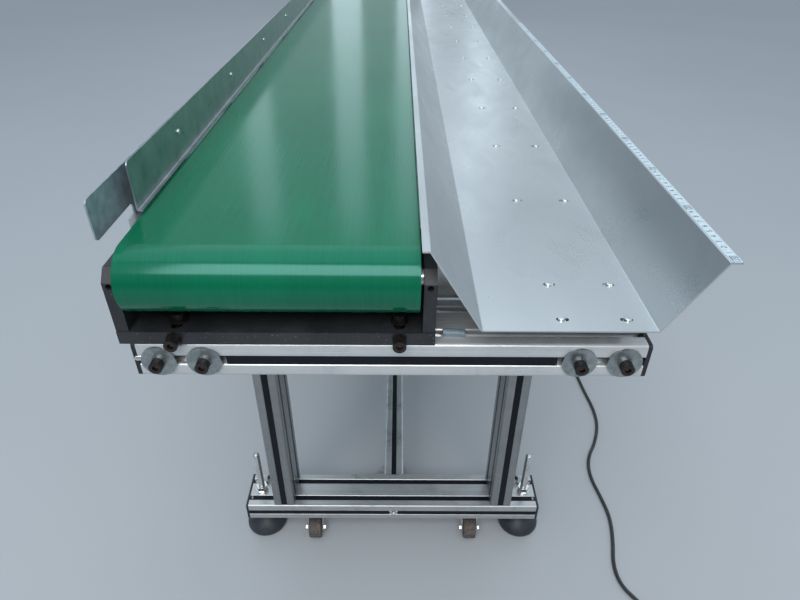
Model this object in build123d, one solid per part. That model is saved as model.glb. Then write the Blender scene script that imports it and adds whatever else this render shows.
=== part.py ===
from build123d import *
import math
import os

# Belt conveyor section on two rolling stands, with a collecting tray beside the belt.
# X runs across the conveyor, Y along it from the nose end to the drive end, Z up.
# All sizes are in millimetres. While the parts are being made, x = 0 is the middle of the
# cross beams, y = 0 is the front edge of the tray and z = 0 is the floor.

# --- Aluminium frame -----------------------------------------------------------------------
length = 2160.0            # tray, front edge to rear edge
cell = 40.0                # grid of the T-slot profiles
corner_radius = 4.0
slot_opening = 10.2
slot_bevel = 1.0           # chamfer along both edges of a slot
slot_lip = 4.5             # thickness of the lips each side of a slot
slot_depth = 12.25
slot_width = 20.0          # widest part of the slot, behind the lips
core_bore = 6.8            # tapping bore in the middle of each cell
web_cavity = (12.0, 20.0)  # hollow between two cells
cap_thickness = 4.2
cross_beam_margin = 222.0  # cross beams are this much longer than the belt is wide
base_beam_margin = 74.0    # base beams, longer than the cross beams
cross_beam_setback = 17.0  # tray's front edge to the cross beam's front face
base_setback = 313.0       # tray's front edge to the base beam's front face
leg_setback = 2.0          # base beam's front face to the leg's front face
leg_length = 598.5
leg_margin = 68.0          # cross beam's length less the spacing of the legs
stand_shift = -4.0         # middle of the stands, from the middle of the cross beams
side_rail_margin = 82.0    # cross beam's length less the spacing of the side rails
tie_x = -2.0
cover_thickness = 3.0
cover_sink = 0.6           # slot covers lie this far below the profile's face
front_cover_margin = 170.0 # cross beam's length less the front cover's

# --- Feet and casters ----------------------------------------------------------------------
base_height = 59.0         # floor to the underside of the base beams
foot_margin = 42.0         # base beam's length less the spacing of the feet
foot_radius = 40.0
foot_height = 45.0
foot_rim = 7.0
foot_neck_radius = 15.0
stud_radius = 6.0
stud_length = 172.0
nut_across_flats = 19.0
nut_height = 10.0
foot_washer_radius = 11.5
caster_spacing = 312.0
caster_inset = 32.0        # base beam's front face to the caster's swivel axis
caster_trail = 24.0
wheel_radius = 20.0
wheel_width = 24.0
wheel_floor_gap = 1.0      # the feet carry the load, so the wheels just clear the floor
fork_thickness = 2.5
axle_radius = 3.0
kingpin_radius = 4.0

# --- Belt, rollers and bed -------------------------------------------------------------------
belt_rise = 96.5           # top of the cross beams to the top of the belt
belt_inset = 1.7           # cross beam's left end to the belt's left edge
belt_width = 270.0
belt_thickness = 2.0
roller_radius = 30.7
roller_length = 266.0
roller_setback = 38.3      # tray's front edge to the roller axis
belt_gap = 0.3             # roller to belt
nose_shaft_radius = 8.5
drive_shaft_radius = 10.0
bearing_radius = 20.0
bearing_width = 12.0
bush_radius = 13.0
bed_thickness = 2.0
bed_flange = 40.0
bed_start = 76.0
side_plate_thickness = 12.0
side_plate_gap = 3.3       # belt edge to side plate
end_plate_thickness = 14.0
end_plate_depth = 80.0
bracket_height = 64.5
bracket_chamfer = (10.0, 11.0)
tension_hole_radius = 3.0
tension_hole_depth = 10.0
bed_rail_height = 79.0
plate_slot_insets = (53.6, 33.9)  # from the plate's left and right edges
plate_slot_width = 11.0
plate_slot_length = 38.0
plate_slot_start = 6.0

# --- Sheet metal -------------------------------------------------------------------------------
sheet = 1.5
bend_radius = 1.5
tray_widths = (7.4, 48.8, 160.3, 42.0, 10.6)   # flange, slope, floor, slope, lip across the tray
tray_overhang = 0.1                # the flange reaches this far over the belt's edge
tray_rises = (112.0, 30.5, 102.7)  # top of the cross beams to the flange, floor and lip
tray_screw_insets = (75.2, 137.2)  # from the left edge of the floor
tray_first_screws = (18.0, 78.0)
tray_screw_pitch = 200.0
tray_slot = (12.0, 5.6)
tray_slot_shift = 1.2      # slots sit this far inwards of their screws
tray_rail_width = 20.0
tray_rail_wall = 2.0
tray_rail_setback = 40.0
tape_width = 9.5
tape_thickness = 0.3
tape_length = 1112.0
guard_gap = 3.7            # guard's inner face to the belt's edge
guard_overhang = 0.7       # the guard's bottom flange reaches this far over the belt
guard_rises = (100.0, 148.5)  # top of the cross beams to the guard's lower and upper edge
guard_setback = 100.0
guard_first_screw = 246.0
guard_screw_pitch = 260.0
guard_screw_rise = 128.5
guard_bracket_width = 50.0
guard_bracket_rises = (24.5, 136.5)
arm_front = 33.0           # y of the free end of the long front guard bracket
arm_rises = (101.0, 140.5)
arm_stem_front = 116.0
arm_rear = 296.0
cradle_count = 5
cradle_thickness = 3.0
cradle_base = 12.0
cradle_first = 98.5
cradle_reach = 58.2        # cradles reach this far under the tray's floor

# --- Fasteners ---------------------------------------------------------------------------------
m8_head = (6.5, 8.0)       # head radius and height
m8_radius = 4.0
m6_head = (5.0, 6.0)
m6_radius = 3.0
m4_head = (3.4, 2.0)
m4_radius = 2.0
socket_depth = 0.5         # socket depth as a share of the head's height
beam_screw_spacing = 44.0
beam_screw_inset = 42.0    # cross beam's end to the middle of a pair of screws
washer = (17.0, 2.5)       # outer radius and thickness of the large washers
spring_washer = (7.2, 2.5)
hold_down_washer = (8.5, 1.6)
slot_nut = (16.0, 15.0, 5.0)
tension_screw_reach = 13.0

# --- Drive and controls ------------------------------------------------------------------------
gear_ratio = 30
gearbox_width = 90.0
gearbox_half_height = 36.0
centre_distance = 40.0     # drive shaft to worm
worm_radius = 11.8
wheel_gear_radius = 27.8
wheel_gear_width = 24.0
worm_length = 46.0
worm_shaft_radius = 7.0
motor_radius = 49.0
motor_length = 190.0
motor_fin_depth = 5.0
motor_fin_count = 28
box_setback = 940.0
box_size = (38.0, 120.0, 98.0)
knob_radius = 14.0
knob_length = 9.5
running_gap = 0.05         # radial clearance of every running fit
face_gap = 0.4             # end clearance beside turning parts

# --- Mains cable: chosen points of its middle line ---------------------------------------------
cable_radius = 3.5
cable_floor = 3.6          # height of the middle line where the cable lies on the floor
cable_route = [
    (268, 1000, 602), (268, 1000, 548), (272, 1004, 452), (279, 1006, 352), (290, 1001, 254),
    (305, 992, 162), (326, 982, 82), (358, 972, 24), (408, 956, cable_floor), (462, 922, cable_floor),
    (491, 862, cable_floor), (496, 800, cable_floor), (499, 745, cable_floor), (506, 688, cable_floor),
    (503, 628, cable_floor), (480, 568, cable_floor), (449, 518, cable_floor), (441, 466, cable_floor),
    (450, 412, cable_floor), (456, 358, cable_floor), (445, 300, cable_floor), (430, 250, cable_floor),
    (433, 208, cable_floor), (456, 176, cable_floor), (478, 148, cable_floor), (489.5, 118, cable_floor),
    (490, 96, cable_floor),
]
coil_centre = (444.5, 100.0)
coil_radii = (34.8, 49.2)
coil_height = 21.2
plug_axis = (54.5, 13.0)   # y and z of the plug's middle line
plug_tail = 424.0          # x where the cable enters the plug's tail

gland_inset = 23.0         # control box's inner face to the gland
gland_drop = 36.5          # control box's underside to the end of the strain relief

# --- Sizes that follow from the ones above -----------------------------------------------------
leg_bottom = base_height + cell
rail_bottom = leg_bottom + leg_length
deck = rail_bottom + cell                      # top face of the cross beams
cross_beam_length = belt_width + cross_beam_margin
base_beam_length = cross_beam_length + base_beam_margin
leg_spacing = cross_beam_length - leg_margin
side_rail_spacing = cross_beam_length - side_rail_margin
front_cover_length = cross_beam_length - front_cover_margin
foot_spacing = base_beam_length - foot_margin
beam_screw_centre = cross_beam_length / 2 - beam_screw_inset
belt_left = belt_inset - cross_beam_length / 2
belt_top = deck + belt_rise
mid_y = length / 2
axis_y = roller_setback
axis_z = belt_top - belt_thickness - belt_gap - roller_radius
belt_right = belt_left + belt_width
plate_left = belt_left - side_plate_gap - side_plate_thickness
plate_right = belt_right + side_plate_gap + side_plate_thickness
plate_top = deck + end_plate_thickness
bracket_front = cross_beam_setback + 1
bracket_rear = bracket_front + end_plate_depth
slot_line = (cell * 0.5, cell * 1.5)           # the two slots in a wide profile, from its edge
roller_left = belt_left + (belt_width - roller_length) / 2
roller_right = roller_left + roller_length
left_bracket = (plate_left, plate_left + side_plate_thickness)
right_bracket = (plate_right - side_plate_thickness, plate_right)
plate_slots = (plate_slot_insets[0], plate_right - plate_left - plate_slot_insets[1])
tray_left = belt_right - tray_overhang
tray_flange = (tray_left, tray_left + tray_widths[0])
tray_floor_left = tray_flange[1] + tray_widths[1]
tray_floor = (tray_floor_left, tray_floor_left + tray_widths[2])
tray_flange_height, tray_floor_height, tray_lip_height = (deck + rise for rise in tray_rises)
tray_right_top = (tray_floor[1] + tray_widths[3], tray_lip_height)
tray_lip = tray_right_top[0] + tray_widths[4]
tray_screw_x = [tray_floor_left + inset for inset in tray_screw_insets]
guard_wall = belt_left - guard_gap
guard_edge = belt_left + guard_overhang
guard_height = [deck + rise for rise in guard_rises]
guard_screw_height = deck + guard_screw_rise
guard_bracket_height = [deck + rise for rise in guard_bracket_rises]
arm_height = [deck + rise for rise in arm_rises]
cradle_right = tray_floor_left + cradle_reach
leg_x = [stand_shift - leg_spacing / 2, stand_shift + leg_spacing / 2]
base_ends = [stand_shift - base_beam_length / 2, stand_shift + base_beam_length / 2]
leg_y = (base_setback + leg_setback, base_setback + leg_setback + 2 * cell)
core_y = [leg_y[0] + line for line in slot_line]
foot_y = base_setback + cell
caster_y = base_setback + caster_inset
cable_exit = (side_rail_spacing / 2 + cell + gland_inset, cable_route[0][1],
              deck - 1 - box_size[2] - gland_drop)
cable_shift = cable_exit[0] - cable_route[0][0]
sides = (-1, 1)

nodes = {}


# --- Helpers -------------------------------------------------------------------------------------
def block(x, y, z):
    """Box between three (low, high) pairs."""
    size = [pair[1] - pair[0] for pair in (x, y, z)]
    return Pos(x[0], y[0], z[0]) * Box(*size, align=(Align.MIN,) * 3)


def rod(start, end, radius):
    """Round bar from one point to another."""
    axis = Vector(*end) - Vector(*start)
    plane = Plane(origin=start, z_dir=axis.normalized())
    return extrude(plane * Circle(radius), amount=axis.length)


def ring(start, end, outer, inner):
    return rod(start, end, outer) - rod(start, end, inner)


def rear(part):
    """Copy of a front part at the rear end of the conveyor."""
    return mirror(part, about=Plane(origin=(0, mid_y, 0), z_dir=(0, 1, 0)))


def both_ends(parts):
    return list(parts) + [rear(part) for part in parts]


def group(parts):
    return Compound(children=[solid for part in parts for solid in part.solids()])


def cap_screw(point, direction, length_under_head, head, radius):
    """Socket head cap screw. The point is under its head, the direction runs down the shank."""
    down = Vector(*direction)
    under = Vector(*point)
    top = under - down * head[1]
    screw = rod(top, under, head[0]) + rod(under, under + down * length_under_head, radius)
    plane = Plane(origin=top, z_dir=down)
    socket = extrude(plane * RegularPolygon(head[0] * 0.45, 6, major_radius=False), head[1] * socket_depth)
    return screw - socket


# --- T-slot profiles -----------------------------------------------------------------------------
def profile_section(cells):
    """Square cells side by side along X, with a slot in every outer face of a cell."""
    half = cell / 2
    lip = slot_opening / 2
    wide = slot_width / 2
    neck = half - slot_lip
    floor = half - slot_depth
    shoulder = neck - 3.0
    floor_half = wide - (shoulder - floor)
    right = [(lip + slot_bevel + 1, half + 1), (lip, half - slot_bevel), (lip, neck), (wide, neck),
             (wide, shoulder), (floor_half, floor)]
    left = [(-x, y) for x, y in reversed(right)]
    slot = make_face(Polyline(*right, *left, close=True))
    section = RectangleRounded(cells * cell, cell, corner_radius)
    for index in range(cells):
        middle = (index - (cells - 1) / 2) * cell
        turns = [0, 180]
        if index == 0:
            turns.append(90)
        if index == cells - 1:
            turns.append(-90)
        for turn in turns:
            section -= Pos(middle, 0) * Rot(0, 0, turn) * slot
        section -= Pos(middle, 0) * Circle(core_bore / 2)
        if index:
            section -= Pos(middle - half, 0) * Rectangle(*web_cavity)
    return section


def bar(cells, start, along, bar_length):
    """Profile from a point on its middle line. Wide faces are level, or face sideways on a leg."""
    across = (1, 0, 0) if along == "Y" else (0, 1, 0)
    direction = {"X": (1, 0, 0), "Y": (0, 1, 0), "Z": (0, 0, 1)}[along]
    plane = Plane(origin=start, x_dir=across, z_dir=direction)
    return extrude(plane * profile_section(cells), amount=bar_length)


def end_cap(cells, start, direction):
    plane = Plane(origin=start, x_dir=(0, 1, 0), z_dir=direction)
    return extrude(plane * RectangleRounded(cells * cell, cell, corner_radius), amount=cap_thickness)


def make_frame():
    """Cross beams, side rails, legs, base beams and the tie between the stands."""
    beam_y = cross_beam_setback + cell
    beam_z = deck - cell / 2
    base_z = base_height + cell / 2
    leg_middle = leg_y[0] + cell
    beam = bar(2, (-cross_beam_length / 2, beam_y, beam_z), "X", cross_beam_length)
    base = bar(2, (base_ends[0], foot_y, base_z), "X", base_beam_length)
    for side in sides:
        foot_x = stand_shift + side * foot_spacing / 2
        base -= rod((foot_x, foot_y, base_height - 1), (foot_x, foot_y, leg_bottom + 1), stud_radius + 0.08)
    screws = []
    for x in leg_x:
        for y in core_y:
            lower = (x, y, base_height + m8_head[1])
            upper = (x, y, deck - m8_head[1])
            base -= rod((x, y, base_height - 1), lower, m8_head[0] + 0.5)
            base -= rod(lower, (x, y, leg_bottom + 1), m8_radius + 0.3)
            screws.append(cap_screw(lower, (0, 0, 1), 62, m8_head, core_bore / 2))
            screws.append(cap_screw(upper, (0, 0, -1), 62, m8_head, core_bore / 2))
    tie_head = (tie_x, base_setback + slot_depth, base_z)
    base -= rod((tie_x, base_setback - 1, base_z), tie_head, m8_head[0] + 0.5)
    base -= rod(tie_head, (tie_x, base_setback + 2 * cell + 1, base_z), m8_radius + 0.3)
    screws.append(cap_screw(tie_head, (0, 1, 0), 98, m8_head, core_bore / 2))

    nodes["front_cross_beam"] = beam
    nodes["rear_cross_beam"] = rear(beam)
    nodes["front_base_beam"] = base
    nodes["rear_base_beam"] = rear(base)
    rail_start = cross_beam_setback + 2 * cell
    for name, side in (("left_side_rail", -1), ("right_side_rail", 1)):
        rail = bar(2, (side * side_rail_spacing / 2, rail_start, beam_z), "Y", length - 2 * rail_start)
        for y in core_y + [length - y for y in core_y]:
            x = leg_x[0] if side < 0 else leg_x[1]
            rail -= rod((x, y, deck - m8_head[1]), (x, y, deck + 1), m8_head[0] + 0.7)
            rail -= rod((x, y, rail_bottom - 1), (x, y, deck - m8_head[1]), m8_radius + 0.3)
        nodes[name] = rail
    for name, x in (("left", leg_x[0]), ("right", leg_x[1])):
        leg = bar(2, (x, leg_middle, leg_bottom), "Z", leg_length)
        nodes[f"front_{name}_leg"] = leg
        nodes[f"rear_{name}_leg"] = rear(leg)
    tie_start = base_setback + 2 * cell
    nodes["base_tie_beam"] = bar(1, (tie_x, tie_start, base_z), "Y", length - 2 * tie_start)
    nodes["frame_screws"] = group(both_ends(screws))

    caps = []
    for side in sides:
        caps.append(end_cap(2, (side * cross_beam_length / 2, beam_y, beam_z), (side, 0, 0)))
        caps.append(end_cap(2, (stand_shift + side * base_beam_length / 2, foot_y, base_z), (side, 0, 0)))
    nodes["end_caps"] = group(both_ends(caps))


def make_slot_covers():
    """Strips that close the slots facing the ends of the conveyor."""
    half = slot_opening / 2
    beam_z = (deck - cell / 2 - half, deck - cell / 2 + half)
    base_z = (base_height + cell / 2 - half, base_height + cell / 2 + half)
    beam_y = cross_beam_setback + cover_sink
    base_y = base_setback + cover_sink
    face_y = leg_y[0] + cover_sink
    strips = [block((-front_cover_length / 2, front_cover_length / 2),
                    (beam_y, beam_y + cover_thickness), beam_z)]
    for side in sides:
        inner = tie_x + side * (m8_head[0] + 2)
        outer = stand_shift + side * (base_beam_length / 2 - 0.5)
        strips.append(block(sorted((inner, outer)), (base_y, base_y + cover_thickness), base_z))
    for x in leg_x:
        strips.append(block((x - half, x + half), (face_y, face_y + cover_thickness),
                            (leg_bottom + 0.5, rail_bottom - 0.5)))
    nodes["slot_covers"] = group(both_ends(strips))


# --- Corner brackets -----------------------------------------------------------------------------
bracket_leg = 30.0
bracket_width = 18.0
bracket_wall = 4.0
gusset = 2.5


def corner_bracket():
    """Die-cast angle with two gussets. Its legs lie along +X and +Z from the corner."""
    half = bracket_width / 2
    angle = block((0, bracket_leg), (-half, half), (0, bracket_wall))
    angle += block((0, bracket_wall), (-half, half), (0, bracket_leg))
    triangle = make_face(Polyline((0, 0), (bracket_leg, 0), (0, bracket_leg), close=True))
    for low in (-half, half - gusset):
        angle += extrude(Plane.XZ.offset(-low) * triangle, amount=-gusset)
    for direction in ((1, 0, 0), (0, 0, 1)):
        start = Vector(*direction) * 18
        through = Vector(direction[2], 0, direction[0]) * (bracket_wall + 1)
        angle -= rod(start - through * 0.2, start + through, m6_radius + 0.3)
    return angle


def bracket_screws():
    """The two M6 screws of a corner bracket, each reaching into a profile slot."""
    reach = bracket_wall + 9
    return [cap_screw((18, 0, bracket_wall), (0, 0, -1), reach, m6_head, m6_radius),
            cap_screw((bracket_wall, 0, 18), (-1, 0, 0), reach, m6_head, m6_radius)]


def make_corner_brackets():
    base_z = base_height + cell / 2
    beam_z = deck - cell / 2
    places = []
    for side in sides:
        away = (side, 0, 0)
        places.append(Plane(origin=(tie_x + side * cell / 2, base_setback + 2 * cell, base_z),
                            x_dir=away, z_dir=(0, 1, 0)))
        places.append(Plane(origin=(side * (side_rail_spacing / 2 - cell), cross_beam_setback + 2 * cell, beam_z),
                            x_dir=(-side, 0, 0), z_dir=(0, 1, 0)))
        leg_face = (leg_x[0] if side < 0 else leg_x[1]) + side * cell / 2
        slots_y = core_y[1] - leg_setback / 2
        places.append(Plane(origin=(leg_face, slots_y, leg_bottom), x_dir=away, z_dir=(0, 0, 1)))
    brackets = [place.location * corner_bracket() for place in places]
    screws = [place.location * screw for place in places for screw in bracket_screws()]
    nodes["corner_brackets"] = group(both_ends(brackets))
    return both_ends(screws)


# --- Screws in the cross beams -------------------------------------------------------------------
def make_beam_screws():
    """Large washers and M8 screws in the outer slot of each cross beam, with their slot nuts."""
    screws = []
    washers = []
    z = deck - cell / 2
    face = cross_beam_setback
    nut_y = (face + slot_lip, face + slot_lip + slot_nut[2])
    for side in sides:
        for shift in sides:
            x = side * beam_screw_centre + shift * beam_screw_spacing / 2
            under_head = face - washer[1] - spring_washer[1]
            screws.append(cap_screw((x, under_head, z), (0, 1, 0), face + 11 - under_head, m8_head, m8_radius))
            nut = block((x - slot_nut[0] / 2, x + slot_nut[0] / 2), nut_y,
                        (z - slot_nut[1] / 2, z + slot_nut[1] / 2))
            screws.append(nut - rod((x, face, z), (x, face + 20, z), m8_radius))
            washers.append(ring((x, face - washer[1], z), (x, face, z), washer[0], m8_radius))
            washers.append(ring((x, under_head, z), (x, face - washer[1], z), spring_washer[0], m8_radius))
    nodes["beam_washers"] = group(both_ends(washers))
    return both_ends(screws)


# --- Levelling feet and casters ------------------------------------------------------------------
def make_feet():
    """Each foot is a moulded bell pad on a threaded stud that screws through the base beam."""
    outline = [Line((0, 0), (foot_radius, 0)),
               Line((foot_radius, 0), (foot_radius, foot_rim)),
               ThreePointArc((foot_radius, foot_rim), (foot_radius * 0.74, foot_height * 0.6),
                             (foot_neck_radius, foot_height - 2)),
               Line((foot_neck_radius, foot_height - 2), (foot_neck_radius, foot_height)),
               Line((foot_neck_radius, foot_height), (0, foot_height)),
               Line((0, foot_height), (0, 0))]
    pad = revolve(Plane.XZ * make_face(outline), Axis.Z)
    stud_start = foot_height - 15
    stud = rod((0, 0, stud_start), (0, 0, stud_start + stud_length), stud_radius)
    stud = chamfer(stud.faces().sort_by(Axis.Z)[-1].edges(), 1)
    pad -= rod((0, 0, stud_start), (0, 0, foot_height + 1), stud_radius)
    nuts = []
    for name, x, y in corner_places(foot_spacing / 2, foot_y):
        nodes[f"foot_{name}"] = group([Pos(x, y, 0) * pad, Pos(x, y, 0) * stud])
        top = leg_bottom + 2.5
        nut = extrude(Plane.XY.offset(top) * RegularPolygon(nut_across_flats / 2, 6, major_radius=False), nut_height)
        nut -= rod((0, 0, top - 1), (0, 0, top + nut_height + 1), stud_radius + 0.08)
        nuts.append(Pos(x, y, 0) * nut)
        nuts.append(ring((x, y, leg_bottom), (x, y, top), foot_washer_radius, stud_radius + 0.08))
    nodes["foot_nuts"] = group(nuts)


def corner_places(half_spacing, y):
    """Name, x and y of the four corners of the two stands."""
    left, right = stand_shift - half_spacing, stand_shift + half_spacing
    return [("front_left", left, y), ("front_right", right, y),
            ("rear_left", left, length - y), ("rear_right", right, length - y)]


def make_casters():
    """Swivel casters with a pressed fork, trailing towards the front."""
    plate_bottom = base_height - 4
    fork_top = plate_bottom - face_gap
    axle_z = wheel_radius + wheel_floor_gap
    cheek = wheel_width / 2 + 1.5
    yoke_radius = 16.0
    yoke_bottom = fork_top - 6
    plates = []
    for name, x, y in corner_places(caster_spacing / 2, caster_y):
        wheel_y = y - caster_trail
        plate = block((x - 19, x + 19), (y - 23, y + 23), (plate_bottom, base_height))
        plate += rod((x, y, yoke_bottom + 1), (x, y, plate_bottom), kingpin_radius)
        plates.append(plate)
        fork = rod((x, y, yoke_bottom), (x, y, fork_top), yoke_radius)
        side_view = make_hull([*(Pos(y, yoke_bottom + 3) * Rectangle(2 * yoke_radius * 0.8, 6)).edges(),
                               *(Pos(wheel_y, axle_z) * Circle(7.5)).edges()])
        for side in sides:
            inner = x + side * cheek
            plane = Plane(origin=(inner, 0, 0), x_dir=(0, 1, 0), z_dir=(1, 0, 0))
            fork += extrude(plane * side_view, amount=side * fork_thickness)
        fork -= rod((x, y, yoke_bottom - 1), (x, y, fork_top + 1), kingpin_radius + running_gap)
        outer = cheek + fork_thickness
        axle = rod((x - outer, wheel_y, axle_z), (x + outer, wheel_y, axle_z), axle_radius)
        fork -= axle
        solids = [fork, axle]
        for side in sides:
            nut_plane = Plane(origin=(x + side * outer, wheel_y, axle_z), z_dir=(side, 0, 0))
            solids.append(extrude(nut_plane * RegularPolygon(5, 6, major_radius=False), 4))
        nodes[f"caster_fork_{name}"] = group(solids)
        half = wheel_width / 2
        wheel = rod((x - half, wheel_y, axle_z), (x + half, wheel_y, axle_z), wheel_radius)
        wheel = fillet(wheel.edges(), 2.5)
        wheel += rod((x - half - 1, wheel_y, axle_z), (x + half + 1, wheel_y, axle_z), 8)
        wheel -= rod((x - half - 2, wheel_y, axle_z), (x + half + 2, wheel_y, axle_z), axle_radius + running_gap)
        nodes[f"caster_wheel_{name}"] = wheel
    nodes["caster_plates"] = group(plates)


# --- Belt, rollers, end plates and bed -----------------------------------------------------------
def make_belt():
    plane = Plane(origin=(belt_left, mid_y, axis_z), x_dir=(0, 1, 0), z_dir=(1, 0, 0))
    span = length - 2 * axis_y
    inner = roller_radius + belt_gap
    loop = SlotCenterToCenter(span, 2 * (inner + belt_thickness)) - SlotCenterToCenter(span, 2 * inner)
    nodes["belt"] = extrude(plane * loop, amount=belt_width)


def make_rollers():
    """Idle nose roller on a fixed shaft, and a drive roller fixed on a turning shaft."""
    ends = ((roller_left, axis_y, axis_z), (roller_right, axis_y, axis_z))
    nodes["nose_roller"] = ring(*ends, roller_radius, bearing_radius)
    bearings = []
    for start in (roller_left + 2, roller_right - 2 - bearing_width):
        bearings.append(ring((start, axis_y, axis_z), (start + bearing_width, axis_y, axis_z),
                             bearing_radius, nose_shaft_radius + running_gap))
    nodes["nose_bearings"] = group(bearings)
    nodes["nose_shaft"] = rod((plate_left, axis_y, axis_z), (plate_right, axis_y, axis_z), nose_shaft_radius)
    nodes["drive_roller"] = rear(ring(*ends, roller_radius, drive_shaft_radius))
    shaft_end = plate_left - gearbox_width + 4
    nodes["drive_shaft"] = rear(rod((shaft_end, axis_y, axis_z), (plate_right + 2, axis_y, axis_z),
                                    drive_shaft_radius))
    bushes = [ring((x[0], axis_y, axis_z), (x[1], axis_y, axis_z), bush_radius, drive_shaft_radius + running_gap)
              for x in (left_bracket, right_bracket)]
    nodes["drive_bushes"] = group([rear(bush) for bush in bushes])


def make_end_plates():
    """Slotted plates bolted to the cross beams, and the four upright roller brackets on them."""
    plate = block((plate_left, plate_right), (cross_beam_setback, cross_beam_setback + end_plate_depth),
                  (deck, plate_top))
    screws = []
    bolt_y = cross_beam_setback + slot_line[0]
    slot_y = cross_beam_setback + plate_slot_start + plate_slot_length / 2
    screw_z = deck + end_plate_thickness / 2
    for x in (plate_left + inset for inset in plate_slots):
        slot = Pos(x, slot_y) * Rot(0, 0, 90) * SlotOverall(plate_slot_length, plate_slot_width)
        plate -= extrude(Plane.XY.offset(deck - 1) * slot, amount=end_plate_thickness + 2)
        plate -= rod((x, cross_beam_setback - 1, screw_z), (x, slot_y, screw_z), m8_radius)
        under_head = plate_top + hold_down_washer[1]
        screws.append(cap_screw((x, bolt_y, under_head), (0, 0, -1), under_head - deck + 10, m8_head, m8_radius))
        screws.append(ring((x, bolt_y, plate_top), (x, bolt_y, under_head), hold_down_washer[0], m8_radius))
        head_y = cross_beam_setback - tension_screw_reach + m8_head[1]
        tip_y = bolt_y - m8_radius - 0.2
        screws.append(cap_screw((x, head_y, screw_z), (0, 1, 0), tip_y - head_y, m8_head, m8_radius))
        jam_plane = Plane(origin=(x, head_y, screw_z), z_dir=(0, 1, 0))
        jam_nut = extrude(jam_plane * RegularPolygon(m8_head[0], 6, major_radius=False),
                          cross_beam_setback - head_y)
        screws.append(jam_nut - rod((x, head_y - 1, screw_z), (x, cross_beam_setback + 1, screw_z), m8_radius))
    nodes["nose_plate"] = plate
    nodes["drive_plate"] = rear(plate)

    brackets = []
    for x in (left_bracket, right_bracket):
        top = plate_top + bracket_height
        side_view = make_face(Polyline((bracket_front, plate_top), (bracket_rear, plate_top),
                                       (bracket_rear, top), (bracket_front + bracket_chamfer[0], top),
                                       (bracket_front, top - bracket_chamfer[1]), close=True))
        plane = Plane(origin=(x[0], 0, 0), x_dir=(0, 1, 0), z_dir=(1, 0, 0))
        upright = extrude(plane * side_view, amount=side_plate_thickness)
        middle = (x[0] + x[1]) / 2
        upright -= rod((middle, bracket_front - 1, axis_z), (middle, bracket_front + tension_hole_depth, axis_z),
                       tension_hole_radius)
        line = ((x[0] - 1, axis_y, axis_z), (x[1] + 1, axis_y, axis_z))
        brackets.append(upright - rod(*line, nose_shaft_radius))
        brackets.append(rear(upright - rod(*line, bush_radius)))
    nodes["roller_brackets"] = group(brackets)
    return both_ends(screws)


def make_bed():
    """Slider bed under the belt, side plates and the upright sheets that carry them."""
    inside = (left_bracket[1], right_bracket[0])
    top = belt_top - belt_thickness
    rear_edge = length - bed_start
    bed = block(inside, (bed_start, rear_edge), (top - bed_thickness, top))
    flange_y = (bracket_rear + 1, length - bracket_rear - 1)
    flange_z = (top - bed_flange, top - bed_thickness)
    bed += block((inside[0], inside[0] + sheet), flange_y, flange_z)
    bed += block((inside[1] - sheet, inside[1]), flange_y, flange_z)
    nodes["slider_bed"] = bed

    rail_y = (bracket_rear + 0.5, length - bracket_rear - 0.5)
    rail_z = (deck + cradle_base, deck + cradle_base + bed_rail_height)
    rails = [block(x, rail_y, rail_z) for x in (left_bracket, right_bracket)]

    floor_z = tray_floor_height - sheet
    rise = tray_flange_height - tray_floor_height
    run = tray_floor[0] - tray_flange[1]
    left_foot = tray_floor[0] - sheet * math.tan(math.atan2(rise, run) / 2)
    left_top = plate_right + 2
    outline = [(plate_left, deck), (cradle_right, deck), (cradle_right, floor_z), (left_foot, floor_z),
               (left_top, floor_z + (left_foot - left_top) * rise / run), (left_top, rail_z[0]),
               (plate_left, rail_z[0])]
    face = make_face(Polyline(*outline, close=True))
    pitch = (length - 2 * cradle_first - cradle_thickness) / (cradle_count - 1)
    cradles = []
    for index in range(cradle_count):
        start = cradle_first + index * pitch
        cradles.append(extrude(Plane.XZ.offset(-start) * face, amount=-cradle_thickness))
    nodes["tray_cradles"] = group(cradles)
    return rails


# --- Sheet metal ---------------------------------------------------------------------------------
def bent_sheet(points, side, y):
    """Sheet whose visible face follows the (x, z) points, extruded between two y values."""
    path = FilletPolyline(*points, radius=bend_radius)
    section = make_face(Wire(path.edges()).offset_2d(sheet, side=side))
    return extrude(Plane.XZ.offset(-y[0]) * section, amount=y[0] - y[1])


def round_head(point, direction, shank):
    """Button head screw. The point is on the surface under its head."""
    down = Vector(*direction)
    under = Vector(*point)
    head = rod(under - down * m4_head[1], under, m4_head[0])
    top = head.faces().sort_by(Axis(point, direction))[0]
    head = fillet(top.edges(), m4_head[1] * 0.7)
    return head + rod(under, under + down * shank, m4_radius)


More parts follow.
